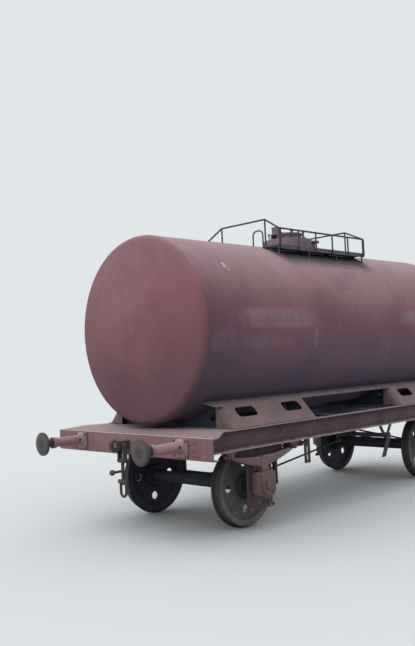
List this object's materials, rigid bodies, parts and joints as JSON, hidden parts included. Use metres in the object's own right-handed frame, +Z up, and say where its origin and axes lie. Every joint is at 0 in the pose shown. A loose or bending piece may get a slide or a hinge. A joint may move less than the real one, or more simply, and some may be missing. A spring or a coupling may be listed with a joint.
{
  "type": "railway tank wagon",
  "caption": "Rail tank wagon with a cylindrical tank in saddles, leaf-sprung wheelsets, side buffers, screw couplings, and a railed walkway round a manhole.",
  "frame": {"origin": "midway along and across the wagon, at the lowest point of the wheel flanges", "axes": "+X along the track from end a to end b, +Y to the left side, where the ladder is, +Z up"},
  "size_m": [7.976, 3, 4.1381],
  "materials": {
    "tank_paint": "faded and rusted red oxide paint, matt",
    "dome_paint": "faded red oxide paint, dark, matt",
    "frame_paint": "weathered red oxide paint with road dust, matt",
    "saddle_paint": "faded grey-red paint, dusty, matt",
    "deck_paint": "worn pale deck paint, dusty, matt",
    "buffer_steel": "dark rusted paint, greased faces",
    "drawgear_steel": "dark forged steel, greasy",
    "wheel_steel": "rust brown with brake dust, treads worn bright",
    "axle_steel": "rusted turned steel",
    "box_iron": "painted cast iron, oily and dusty",
    "spring_steel": "rusted spring steel",
    "brake_iron": "rusted cast and forged iron",
    "walkway_paint": "worn paint with rust",
    "rail_paint": "faded paint on round bar"
  },
  "bodies": {
    "wagon": {"tank_barrel": "tank_paint", "tank_shelves": "saddle_paint", "saddle_pans": "saddle_paint", "cradles": "frame_paint", "sole_bars": "frame_paint", "centre_sills": "frame_paint", "headstocks": "frame_paint", "end_decks": "deck_paint", "cross_bearers": "frame_paint", "buffer_struts": "frame_paint", "buffer_casings": "buffer_steel", "buffer_heads": "buffer_steel", "draw_hooks": "drawgear_steel", "screw_couplings": "drawgear_steel", "axle_guards": "frame_paint", "leaf_springs": "spring_steel", "spring_hangers": "frame_paint", "axle_boxes": "box_iron", "brake_blocks": "brake_iron", "brake_hangers": "brake_iron", "brake_beams": "brake_iron", "brake_shaft": "brake_iron", "brake_rods": "brake_iron", "brake_cylinder": "box_iron", "hand_brake_lever": "brake_iron", "brake_guides": "frame_paint", "outlet_valve": "box_iron", "manhole_drum": "dome_paint", "lid_clamps": "rail_paint", "vent_valve": "dome_paint", "walkways": "walkway_paint", "walkway_gussets": "walkway_paint", "guard_rail_left": "rail_paint", "guard_rail_right": "rail_paint", "cross_rail_a": "rail_paint", "cross_rail_b": "rail_paint", "hoop_handle": "rail_paint", "ladder": "rail_paint"},
    "wheelset_a": {"axle_a": "axle_steel", "wheel_a_left": "wheel_steel", "wheel_a_right": "wheel_steel"},
    "wheelset_b": {"axle_b": "axle_steel", "wheel_b_left": "wheel_steel", "wheel_b_right": "wheel_steel"},
    "lid": {"manhole_lid": "dome_paint"}
  },
  "joints": [
    {"name": "wheelset_a_turn", "type": "hinge", "parent": "wagon", "child": "wheelset_a", "pos_m": [-2.21, 0, 0.528], "axis": [0, 1, 0], "continuous": true},
    {"name": "wheelset_b_turn", "type": "hinge", "parent": "wagon", "child": "wheelset_b", "pos_m": [2.21, 0, 0.528], "axis": [0, 1, 0], "continuous": true},
    {"name": "lid_hinge", "type": "hinge", "parent": "wagon", "child": "lid", "pos_m": [-0.282, 0, 4.03], "axis": [0, -1, 0], "range_deg": [0, 110]}
  ]
}
